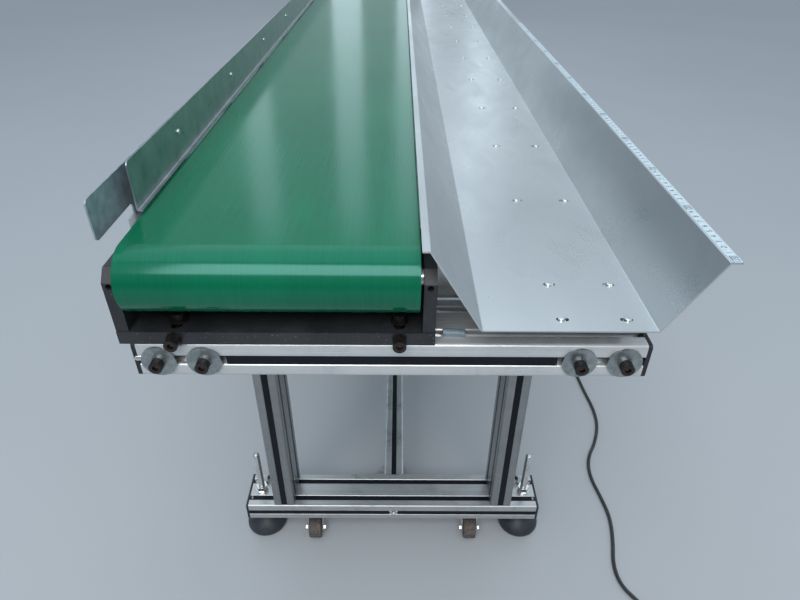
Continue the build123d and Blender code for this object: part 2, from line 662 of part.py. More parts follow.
def make_tray():
    """Bent tray on two square tubes, its screws, and the measuring tape on its right lip."""
    points = [(tray_flange[0], tray_flange_height), (tray_flange[1], tray_flange_height),
              (tray_floor[0], tray_floor_height), (tray_floor[1], tray_floor_height),
              tray_right_top, (tray_lip, tray_right_top[1])]
    tray = bent_sheet(points, Side.RIGHT, (0, length))
    tube_z = (deck, tray_floor_height - sheet)
    tubes = []
    screws = []
    stations = list(tray_first_screws)
    while stations[-1] + tray_screw_pitch < length - tray_first_screws[0]:
        stations.append(stations[-1] + tray_screw_pitch)
    middle = sum(tray_screw_x) / 2
    for x in tray_screw_x:
        half = tray_rail_width / 2
        wall = tray_rail_wall
        tube = block((x - half, x + half), (tray_rail_setback, length - 4), tube_z)
        tube -= block((x - half + wall, x + half - wall), (0, length), (tube_z[0] + wall, tube_z[1] - wall))
        slot_x = x + math.copysign(tray_slot_shift, middle - x)
        for y in stations:
            if y > tray_rail_setback:
                tube -= rod((x, y, tube_z[1] - wall - 1), (x, y, tube_z[1] + 1), m4_radius)
            else:
                screws.append(ring((x, y, tube_z[1] - 3.2), (x, y, tube_z[1]), 4.5, m4_radius))
            tray -= extrude(Plane.XY.offset(tube_z[1] - 1) * Pos(slot_x, y) * SlotOverall(*tray_slot), sheet + 2)
            screws.append(round_head((x, y, tray_floor_height), (0, 0, -1), 12))
        tubes.append(tube)
    nodes["tray"] = tray
    nodes["tray_rails"] = group(tubes)
    tape_x = (tray_lip - tape_width - 0.3, tray_lip - 0.3)
    nodes["tray_ruler"] = block(tape_x, (0.5, tape_length),
                                (tray_right_top[1], tray_right_top[1] + tape_thickness))
    return screws


def make_guard(rails):
    """Side guard beside the belt, held off the side plate by brackets and spacers."""
    rear_end = length - guard_setback
    guard = bent_sheet([(guard_wall, guard_height[1]), (guard_wall, guard_height[0]),
                        (guard_edge, guard_height[0])], Side.RIGHT, (guard_setback, rear_end))
    front_corner = guard.edges().filter_by(Axis.X).filter_by(lambda edge: edge.center().Z > guard_height[1] - 1)
    guard = fillet(front_corner, 5)
    outer = plate_left - sheet
    plane = Plane(origin=(outer, 0, 0), x_dir=(0, 1, 0), z_dir=(1, 0, 0))
    brackets = []
    screws = []
    y = guard_first_screw
    while y < rear_end - guard_bracket_width:
        if y == guard_first_screw:
            outline = [(arm_front, arm_height[0]), (arm_stem_front, arm_height[0]),
                       (arm_stem_front, guard_bracket_height[0]), (arm_rear, guard_bracket_height[0]),
                       (arm_rear, arm_height[1]), (arm_front, arm_height[1])]
        else:
            low, high = y - guard_bracket_width / 2, y + guard_bracket_width / 2
            outline = [(low, guard_bracket_height[0]), (high, guard_bracket_height[0]),
                       (high, guard_bracket_height[1]), (low, guard_bracket_height[1])]
        face = make_face(Polyline(*outline, close=True))
        plate = extrude(plane * fillet(face.vertices(), 5), amount=sheet)
        upper = (y, guard_screw_height)
        hole = rod((outer - 1, *upper), (guard_wall + 1, *upper), m4_radius)
        plate -= hole
        guard -= hole
        screws.append(round_head((guard_wall, *upper), (-1, 0, 0), guard_wall - outer + 3))
        screws.append(ring((plate_left, *upper), (guard_wall - sheet, *upper), 5, m4_radius))
        nut_plane = Plane(origin=(outer, *upper), z_dir=(-1, 0, 0))
        nut = extrude(nut_plane * RegularPolygon(4, 6, major_radius=False), 3)
        screws.append(nut - rod((outer - 4, *upper), (outer, *upper), m4_radius))
        for shift in (-15, 15):
            lower = (y + shift, deck + 46)
            screw = round_head((outer, *lower), (1, 0, 0), 12)
            plate -= rod((outer - 1, *lower), (outer + 3, *lower), m4_radius)
            rails[0] -= rod((plate_left - 1, *lower), (outer + 12, *lower), m4_radius)
            screws.append(screw)
        brackets.append(plate)
        y += guard_screw_pitch
    nodes["guard"] = guard
    nodes["guard_brackets"] = group(brackets)
    nodes["bed_rails"] = group(rails)
    return screws


# --- Gear motor ----------------------------------------------------------------------------------
def make_gear_motor():
    """Worm gearbox on the drive shaft, bolted to the left rear bracket, with its motor below."""
    outer_x = plate_left - gearbox_width
    middle_x = (plate_left + outer_x) / 2
    worm_y = length - axis_y - centre_distance
    shaft_y = length - axis_y
    low = axis_z - gearbox_half_height
    high = axis_z + gearbox_half_height
    housing = block((outer_x, plate_left), (worm_y - 24, shaft_y + gearbox_half_height), (low, high))
    housing = fillet(housing.edges().filter_by(Axis.X), 10)
    half = wheel_gear_width / 2
    housing -= rod((middle_x - half - face_gap, shaft_y, axis_z), (middle_x + half + face_gap, shaft_y, axis_z),
                   wheel_gear_radius + 2)
    worm_z = (axis_z - worm_length / 2, axis_z + worm_length / 2)
    housing -= rod((middle_x, worm_y, worm_z[0] - face_gap), (middle_x, worm_y, worm_z[1] + face_gap),
                   worm_radius + 1.5)
    housing -= rod((outer_x + 2, shaft_y, axis_z), (plate_left + 1, shaft_y, axis_z),
                   drive_shaft_radius + running_gap)
    housing -= rod((middle_x, worm_y, low - 1), (middle_x, worm_y, axis_z), worm_shaft_radius + running_gap)
    nodes["gearbox_housing"] = housing

    gear = ring((middle_x - half, shaft_y, axis_z), (middle_x + half, shaft_y, axis_z),
                wheel_gear_radius, drive_shaft_radius)
    groove = block((middle_x - half - 1, middle_x + half + 1), (-1, 1),
                   (wheel_gear_radius - 2.2, wheel_gear_radius + 1))
    for index in range(gear_ratio):
        turned = Pos(0, shaft_y, axis_z) * Rot(index * 360 / gear_ratio, 0, 0) * groove
        gear -= turned
    nodes["worm_wheel"] = gear
    worm = rod((middle_x, worm_y, worm_z[0]), (middle_x, worm_y, worm_z[1]), worm_radius)
    for index in range(5):
        z = worm_z[0] + 5 + index * (worm_length - 12) / 4
        worm -= ring((middle_x, worm_y, z), (middle_x, worm_y, z + 2.5), worm_radius + 1, worm_radius - 2.2)
    worm += rod((middle_x, worm_y, low - 40), (middle_x, worm_y, worm_z[0]), worm_shaft_radius)
    nodes["worm_shaft"] = worm

    core = motor_radius - motor_fin_depth
    fin = block((core - 2, motor_radius), (-1.25, 1.25), (low - motor_length + 52, deck - 2.5))
    motor = rod((0, 0, low - motor_length + 45), (0, 0, low - 8), core)
    for index in range(motor_fin_count):
        motor += Rot(0, 0, index * 360 / motor_fin_count) * fin
    motor += rod((0, 0, low - 8), (0, 0, low), motor_radius - 7)
    fan_cover = rod((0, 0, low - motor_length), (0, 0, low - motor_length + 45), motor_radius)
    motor += fillet(fan_cover.faces().sort_by(Axis.Z)[0].edges(), 8)
    motor += block((-motor_radius, 0), (-24, 24), (low - 110, low - 50))
    motor = Pos(middle_x, worm_y, 0) * motor
    motor -= rod((middle_x, worm_y, low - 41), (middle_x, worm_y, low + 1), worm_shaft_radius + running_gap)
    nodes["motor"] = motor


# --- Control box and mains cable -----------------------------------------------------------------
def make_controls():
    """Speed control box on the right side rail, with its knob and the cable gland below."""
    face_x = side_rail_spacing / 2 + cell
    box_x = (face_x, face_x + box_size[0])
    box_y = (box_setback, box_setback + box_size[1])
    top = deck - 1
    box = block(box_x, box_y, (top - box_size[2], top))
    box = fillet(box.edges(), 3)
    knob_place = (box_y[0] + 38, top - 36)
    stem = 6.0
    box -= rod((box_x[1] - stem - 1, *knob_place), (box_x[1] + 1, *knob_place), axle_radius + running_gap)
    nodes["control_box"] = box
    knob_start = box_x[1] + 0.5
    knob = rod((knob_start, *knob_place), (knob_start + knob_length, *knob_place), knob_radius)
    knob = fillet(knob.faces().sort_by(Axis.X)[-1].edges(), 1.5)
    pointer = block((knob_start + knob_length - 2, knob_start + knob_length + 1), (-1, 1), (3, knob_radius - 1))
    knob -= Pos(0, *knob_place) * pointer
    knob += rod((box_x[1] - stem, *knob_place), (knob_start, *knob_place), axle_radius)
    nodes["speed_knob"] = knob

    exit_x, exit_y, exit_z = cable_exit
    box_bottom = top - box_size[2]
    hex_plane = Plane.XY.offset(box_bottom - 7)
    gland = extrude(hex_plane * RegularPolygon(8, 6, major_radius=False), 7)
    relief = loft([Plane.XY.offset(box_bottom - 7) * Circle(6.5), Plane.XY.offset(exit_z) * Circle(cable_radius + 0.8)])
    nodes["cable_gland"] = Pos(exit_x, exit_y, 0) * (gland + relief)


def make_cable():
    """The lead drops to the floor, runs along the conveyor and ends in a coil with its plug."""
    stretch = cable_exit[2] / cable_route[0][2]
    heights = [z if z == cable_floor else z * stretch for x, y, z in cable_route]
    points = [Vector(x + cable_shift, y, height) for (x, y, z), height in zip(cable_route, heights)]
    runs = [after - before for before, after in zip(points, points[1:])]
    radii = []
    for first, second in zip(runs, runs[1:]):
        turn = math.radians(first.get_angle(second))
        radii.append(0.45 * min(first.length, second.length) / math.tan(turn / 2))
    path = FilletPolyline(*points, radius=radii)
    start = Plane(origin=points[0], z_dir=runs[0])
    tube = sweep(start * Circle(cable_radius), path=path)
    print("cable bend radii:", [round(radius) for radius in radii])
    print("longest cable run:", round(max(run.length for run in runs), 1))
    print("cable volume / (section * length):",
          round(tube.volume / (math.pi * cable_radius ** 2 * path.length), 4), "length", round(path.length))
    nodes["mains_cable"] = tube
    x, y = coil_centre[0] + cable_shift, coil_centre[1]
    nodes["cable_coil"] = ring((x, y, 0.1), (x, y, coil_height), coil_radii[1], coil_radii[0])

    plug_y, plug_z = plug_axis
    tail = loft([Plane(origin=(plug_tail, plug_y, plug_z), z_dir=(-1, 0, 0)) * Circle(4.3),
                 Plane(origin=(plug_tail - 28, plug_y, plug_z), z_dir=(-1, 0, 0)) * Circle(8)])
    body = block((plug_tail - 64, plug_tail - 28), (plug_y - 18, plug_y + 18), (plug_z - 12.9, plug_z + 12.9))
    body = fillet(body.edges(), 6)
    plug = tail + body
    for side in sides:
        pin_y = plug_y + side * 9.5
        plug += rod((plug_tail - 83, pin_y, plug_z), (plug_tail - 63, pin_y, plug_z), 2.4)
    nodes["mains_plug"] = Pos(cable_shift, 0, 0) * plug


# --- Assembly ------------------------------------------------------------------------------------
cord_nodes = ("mains_cable", "cable_coil", "mains_plug")


def centre_on_floor():
    """Shift from the building frame to the part's own origin, under the middle of its box."""
    boxes = [shape.bounding_box() for name, shape in nodes.items() if name not in cord_nodes]
    low_x = min(box.min.X for box in boxes)
    high_x = max(box.max.X for box in boxes)
    low_y = min(box.min.Y for box in boxes)
    high_y = max(box.max.Y for box in boxes)
    low_z = min(box.min.Z for box in boxes)
    return Pos(-(low_x + high_x) / 2, -(low_y + high_y) / 2, -low_z)


def main():
    os.makedirs("parts", exist_ok=True)
    make_frame()
    make_slot_covers()
    make_feet()
    make_casters()
    make_belt()
    make_rollers()
    nodes["socket_screws"] = group(make_beam_screws() + make_end_plates() + make_corner_brackets())
    rails = make_bed()
    tray_screws = make_tray()
    nodes["sheet_screws"] = group(tray_screws + make_guard(rails))
    make_gear_motor()
    make_controls()
    make_cable()
    shift = centre_on_floor()
    print("origin shift:", shift.position)
    for name, shape in nodes.items():
        export_step(shift * shape, f"parts/{name}.step")
    print(len(nodes), "nodes")


main()
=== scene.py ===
import bmesh
import bpy
import math
from mathutils import Matrix, Vector


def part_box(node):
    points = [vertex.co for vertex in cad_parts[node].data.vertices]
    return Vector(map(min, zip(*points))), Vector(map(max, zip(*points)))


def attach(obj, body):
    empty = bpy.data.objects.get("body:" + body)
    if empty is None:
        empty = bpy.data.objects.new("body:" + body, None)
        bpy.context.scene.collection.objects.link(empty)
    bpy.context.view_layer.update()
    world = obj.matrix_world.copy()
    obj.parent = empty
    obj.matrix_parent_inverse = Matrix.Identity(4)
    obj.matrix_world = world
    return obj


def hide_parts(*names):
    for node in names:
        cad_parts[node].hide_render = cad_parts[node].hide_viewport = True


# Belt conveyor section: camera, studio, materials and the detailed pieces around the CAD frame.
# Lengths in the script are millimetres in the conveyor's own frame: x = 0 in the middle of the
# cross beams, y = 0 at the tray's front edge, z = 0 on the floor. at() turns them into metres.

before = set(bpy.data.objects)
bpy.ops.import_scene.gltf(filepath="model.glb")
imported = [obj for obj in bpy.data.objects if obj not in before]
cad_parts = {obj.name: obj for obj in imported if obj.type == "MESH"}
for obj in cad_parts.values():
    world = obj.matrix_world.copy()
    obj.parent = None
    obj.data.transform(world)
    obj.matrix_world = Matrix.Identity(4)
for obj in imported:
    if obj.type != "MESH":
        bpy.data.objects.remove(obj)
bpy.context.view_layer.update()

MM = 0.001
beam_low, beam_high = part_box("front_cross_beam")
tray_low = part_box("tray")[0]
origin = Vector(((beam_low.x + beam_high.x) / 2, tray_low.y, 0))


def at(x, y, z):
    """Point in metres from millimetres in the conveyor's own frame."""
    return origin + Vector((x, y, z)) * MM


# --- Camera --------------------------------------------------------------------------------------
camera_place = (6, -432.3, 1095)
camera_pitch = 34.2066
camera_yaw = 0.1707
camera_roll = 0.3740
camera_lens = 27.0


def make_camera():
    data = bpy.data.cameras.new("camera")
    data.lens = camera_lens
    data.sensor_width = 36
    data.clip_end = 50
    camera = bpy.data.objects.new("camera", data)
    bpy.context.scene.collection.objects.link(camera)
    pitch, yaw, roll = (math.radians(angle) for angle in (camera_pitch, camera_yaw, camera_roll))
    forward = Vector((math.sin(yaw) * math.cos(pitch), math.cos(yaw) * math.cos(pitch), -math.sin(pitch)))
    level = Vector((math.cos(yaw), -math.sin(yaw), 0))
    upright = level.cross(forward)
    right = level * math.cos(roll) + upright * math.sin(roll)
    up = upright * math.cos(roll) - level * math.sin(roll)
    turn = Matrix((right, up, -forward)).transposed().to_4x4()
    camera.matrix_world = Matrix.Translation(at(*camera_place)) @ turn
    bpy.context.scene.camera = camera


# --- Node helpers --------------------------------------------------------------------------------
def new_material(name):
    material = bpy.data.materials.new(name)
    material.use_nodes = True
    tree = material.node_tree
    return material, tree, tree.nodes["Principled BSDF"]


def add(tree, kind, **settings):
    node = tree.nodes.new(kind)
    for key, value in settings.items():
        setattr(node, key, value)
    return node


def feed(tree, node, values):
    """Set sockets of a node from plain values or from other nodes' outputs."""
    for socket, value in values.items():
        if isinstance(value, bpy.types.NodeSocket):
            tree.links.new(value, node.inputs[socket])
        else:
            node.inputs[socket].default_value = value


def noise(tree, size, stretch=(1, 1, 1), detail=4.0, roughness=0.55, distortion=0.0):
    """Noise with features of that size in mm, drawn out along each axis by stretch."""
    place = add(tree, "ShaderNodeTexCoord")
    mapping = add(tree, "ShaderNodeMapping")
    scale = [1 / (size * MM * along) for along in stretch]
    feed(tree, mapping, {"Vector": place.outputs["Object"], "Scale": scale})
    node = add(tree, "ShaderNodeTexNoise")
    feed(tree, node, {"Vector": mapping.outputs["Vector"], "Scale": 1.0, "Detail": detail,
                      "Roughness": roughness, "Distortion": distortion})
    return node.outputs["Fac"]


def spread(tree, value, source, target):
    """Map a value from one range to another, clamped."""
    node = add(tree, "ShaderNodeMapRange")
    feed(tree, node, {"Value": value, "From Min": source[0], "From Max": source[1],
                      "To Min": target[0], "To Max": target[1]})
    return node.outputs["Result"]


def blend_colours(tree, factor, first, second):
    node = add(tree, "ShaderNodeMix", data_type="RGBA")
    sockets = [socket for socket in node.inputs if socket.type == "RGBA"]
    for socket, value in zip(sockets, (first, second)):
        if isinstance(value, bpy.types.NodeSocket):
            tree.links.new(value, socket)
        else:
            socket.default_value = (*value, 1)
    tree.links.new(factor, node.inputs["Factor"])
    return [socket for socket in node.outputs if socket.type == "RGBA"][0]


def calculate(tree, operation, first, second=0.0):
    node = add(tree, "ShaderNodeMath", operation=operation)
    feed(tree, node, {0: first, 1: second})
    return node.outputs["Value"]


def sum_of(tree, parts):
    """Weighted sum of two values, from (value, weight) pairs."""
    first, second = (calculate(tree, "MULTIPLY", value, weight) for value, weight in parts)
    return calculate(tree, "ADD", first, second)


def object_axes(tree):
    """Node that splits the object coordinates into X, Y and Z."""
    place = add(tree, "ShaderNodeTexCoord")
    axes = add(tree, "ShaderNodeSeparateXYZ")
    tree.links.new(place.outputs["Object"], axes.inputs["Vector"])
    return axes


def bumped(tree, shader, layers):
    """Chain of bump nodes, one for each (height, depth in mm) layer."""
    normal = None
    for height, depth in layers:
        node = add(tree, "ShaderNodeBump")
        feed(tree, node, {"Height": height, "Strength": 1.0, "Distance": depth * MM})
        if normal is not None:
            tree.links.new(normal, node.inputs["Normal"])
        normal = node.outputs["Normal"]
    tree.links.new(normal, shader.inputs["Normal"])


def finish(name, dark, light, rough, metallic=0.0, blotch=40.0, grain=0.4, stretch=(1, 1, 1),
           depth=0.02, specks=None, coat=0.0, gloss=0.5):
    """General finish: two colours mixed in blotches, a fine grain in bump and roughness, and specks.

    Sizes are in mm. specks is (size, share of noise above which a speck shows, colour)."""
    material, tree, shader = new_material(name)
    cloud = noise(tree, blotch, detail=6.0)
    fine = noise(tree, grain, stretch, detail=2.0)
    colour = blend_colours(tree, spread(tree, cloud, (0.35, 0.65), (0, 1)), dark, light)
    colour = blend_colours(tree, spread(tree, fine, (0.3, 0.7), (0, 0.35)), colour, dark)
    if specks:
        size, limit, speck_colour = specks
        spot = noise(tree, size, detail=1.0)
        shown = spread(tree, spot, (limit, limit + 0.03), (0, 0.8))
        colour = blend_colours(tree, shown, colour, speck_colour)
    tree.links.new(colour, shader.inputs["Base Color"])
    mixed = sum_of(tree, ((cloud, 0.6), (fine, 0.4)))
    tree.links.new(spread(tree, mixed, (0.35, 0.65), rough), shader.inputs["Roughness"])
    shader.inputs["Metallic"].default_value = metallic
    shader.inputs["Specular IOR Level"].default_value = gloss
    shader.inputs["Coat Weight"].default_value = coat
    shader.inputs["Coat Roughness"].default_value = 0.12
    bumped(tree, shader, [(fine, depth)])
    return material


# --- Materials with their own build --------------------------------------------------------------
def belt_material():
    """Glossy green belt: fine lengthwise lines, faint cloudy wear, a few pale scuffs."""
    material, tree, shader = new_material("belt_green")
    clouds = noise(tree, 120, (1, 3, 1), detail=5.0)
    lines = noise(tree, 0.9, (1, 60, 60), detail=2.0)
    weave = noise(tree, 0.5, (1.6, 0.8, 1), detail=1.0)
    scuffs = noise(tree, 2.6, (1, 1.4, 1), detail=3.0)
    deep, fresh = (0.0004, 0.105, 0.045), (0.0008, 0.145, 0.062)
    green = blend_colours(tree, spread(tree, clouds, (0.3, 0.7), (0, 1)), deep, fresh)
    green = blend_colours(tree, spread(tree, lines, (0.4, 0.75), (0, 0.3)), green, (0.003, 0.20, 0.10))
    green = blend_colours(tree, spread(tree, scuffs, (0.80, 0.82), (0, 0.6)), green, (0.25, 0.5, 0.42))
    tree.links.new(green, shader.inputs["Base Color"])
    mixed = sum_of(tree, ((clouds, 0.7), (lines, 0.3)))
    tree.links.new(spread(tree, mixed, (0.35, 0.65), (0.11, 0.17)), shader.inputs["Roughness"])
    shader.inputs["Specular IOR Level"].default_value = 0.5
    shader.inputs["Specular Tint"].default_value = (0.5, 0.95, 1.0, 1)
    ripples = noise(tree, 60, (1, 6, 1), detail=1.0)
    bumped(tree, shader, [(lines, 0.006), (weave, 0.006), (ripples, 0.06)])
    return material


def profile_material(name, direction, painted_shade=1.0, metallic=0.7):
    """Satin anodised extrusion with drawing lines along its length; painted_shade scales the whole colour as
    painted shade for that group of beams.
    """
    material, tree, shader = new_material(name)
    lines = noise(tree, 0.5, [240 if axis == direction else 1 for axis in "XYZ"], detail=3.0)
    bands = noise(tree, 5, [120 if axis == direction else 1 for axis in "XYZ"], detail=2.0)
    smudge = noise(tree, 55, detail=6.0, distortion=0.6)
    # painted shade: every tone is multiplied by painted_shade, which gives darker copies of the one anodised
    # finish
    dim, bright, band = ([painted_shade * part for part in tone] for tone in
                         ((0.66, 0.68, 0.69), (0.80, 0.81, 0.81), (0.56, 0.58, 0.60)))
    silver = blend_colours(tree, spread(tree, smudge, (0.35, 0.7), (0, 1)), dim, bright)
    silver = blend_colours(tree, spread(tree, bands, (0.35, 0.7), (0, 0.5)), silver, band)
    dirt = noise(tree, 2.2, detail=5.0, roughness=0.7)
    silver = blend_colours(tree, spread(tree, dirt, (0.74, 0.8), (0, 0.5)), silver, (0.2, 0.18, 0.16))
    tree.links.new(silver, shader.inputs["Base Color"])
    mixed = sum_of(tree, ((lines, 0.5), (smudge, 0.5)))
    tree.links.new(spread(tree, mixed, (0.3, 0.7), (0.22, 0.4)), shader.inputs["Roughness"])
    shader.inputs["Metallic"].default_value = metallic
    bumped(tree, shader, [(lines, 0.008), (bands, 0.015)])
    return material


def tray_material():
    """Satin sheet with wiped smudges, scratches, and pale, rusty and dark specks."""
    material, tree, shader = new_material("tray_sheet")
    broad = noise(tree, 220, (1, 2.5, 1), detail=4.0, distortion=0.8)
    wipes = noise(tree, 60, (0.8, 2.0, 1.2), detail=5.0, roughness=0.5, distortion=0.7)
    grain = noise(tree, 0.7, (1, 3, 1), detail=2.0)
    dull, clean = (0.60, 0.625, 0.635), (0.78, 0.79, 0.79)
    colour = blend_colours(tree, spread(tree, broad, (0.3, 0.7), (0, 1)), dull, clean)
    colour = blend_colours(tree, spread(tree, wipes, (0.45, 0.75), (0, 0.45)), colour, (0.53, 0.56, 0.58))
    dust = noise(tree, 1.5, detail=2.0)
    colour = blend_colours(tree, spread(tree, dust, (0.745, 0.77), (0, 0.7)), colour, (0.92, 0.92, 0.9))
    rust = noise(tree, 3.2, (1, 0.6, 1), detail=6.0, roughness=0.75)
    colour = blend_colours(tree, spread(tree, rust, (0.755, 0.79), (0, 0.85)), colour, (0.33, 0.16, 0.08))
    dirt = noise(tree, 7, (1, 1.3, 1), detail=3.0)
    colour = blend_colours(tree, spread(tree, dirt, (0.79, 0.8), (0, 0.9)), colour, (0.05, 0.05, 0.055))
    scratch = noise(tree, 1.2, (1, 45, 30), detail=1.0, distortion=0.4)
    colour = blend_colours(tree, spread(tree, scratch, (0.79, 0.83), (0, 0.6)), colour, (0.9, 0.91, 0.92))
    tree.links.new(colour, shader.inputs["Base Color"])
    mixed = sum_of(tree, ((wipes, 0.7), (grain, 0.3)))
    tree.links.new(spread(tree, mixed, (0.35, 0.68), (0.26, 0.36)), shader.inputs["Roughness"])
    shader.inputs["Metallic"].default_value = 1.0
    bumped(tree, shader, [(grain, 0.012), (broad, 0.5)])
    return material


def tape_material():
    """Pale steel tape with millimetre marks along both edges."""
    material, tree, shader = new_material("tape")
    low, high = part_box("tray_ruler")
    mark_width = 0.28               # of each millimetre
    fifth_width = 0.06              # of each five millimetres
    mark_reach, fifth_extra = 1.5, 0.8
    axes = object_axes(tree)

    def step(value, limit):
        return calculate(tree, "LESS_THAN", value, limit)

    run = calculate(tree, "MULTIPLY", calculate(tree, "SUBTRACT", axes.outputs["Y"], low.y), 1 / MM)
    mark = step(calculate(tree, "FRACT", run), mark_width)
    fifth = step(calculate(tree, "FRACT", calculate(tree, "MULTIPLY", run, 0.2)), fifth_width)
    reach = calculate(tree, "ADD", calculate(tree, "MULTIPLY", fifth, fifth_extra), mark_reach)
    middle = (low.x + high.x) / 2
    inset = calculate(tree, "ABSOLUTE", calculate(tree, "SUBTRACT", axes.outputs["X"], middle))
    edge = calculate(tree, "MULTIPLY", calculate(tree, "SUBTRACT", (high.x - low.x) / 2, inset), 1 / MM)
    ink = calculate(tree, "MULTIPLY", mark, step(edge, reach))
    wear = noise(tree, 4, detail=5.0)
    worn, fresh = (0.56, 0.68, 0.74), (0.72, 0.82, 0.85)
    paper = blend_colours(tree, spread(tree, wear, (0.35, 0.7), (0, 1)), worn, fresh)
    colour = blend_colours(tree, calculate(tree, "MULTIPLY", ink, 0.3), paper, (0.02, 0.03, 0.09))
    tree.links.new(colour, shader.inputs["Base Color"])
    tree.links.new(spread(tree, wear, (0.3, 0.7), (0.25, 0.4)), shader.inputs["Roughness"])
    shader.inputs["Metallic"].default_value = 0.25
    return material


def plug_material(pin_limit):
    """Black moulded plug; nickel where x is left of pin_limit, which is the two pins."""
    material, tree, shader = new_material("plug_rubber_and_pins")
    axes = object_axes(tree)
    pins = calculate(tree, "LESS_THAN", axes.outputs["X"], pin_limit)
    grain = noise(tree, 0.5, detail=2.0)
    rubber = blend_colours(tree, grain, (0.012, 0.012, 0.013), (0.03, 0.03, 0.032))
    tree.links.new(blend_colours(tree, pins, rubber, (0.75, 0.72, 0.66)), shader.inputs["Base Color"])
    tree.links.new(pins, shader.inputs["Metallic"])
    tree.links.new(spread(tree, pins, (0, 1), (0.55, 0.25)), shader.inputs["Roughness"])
    bumped(tree, shader, [(grain, 0.02)])
    return material


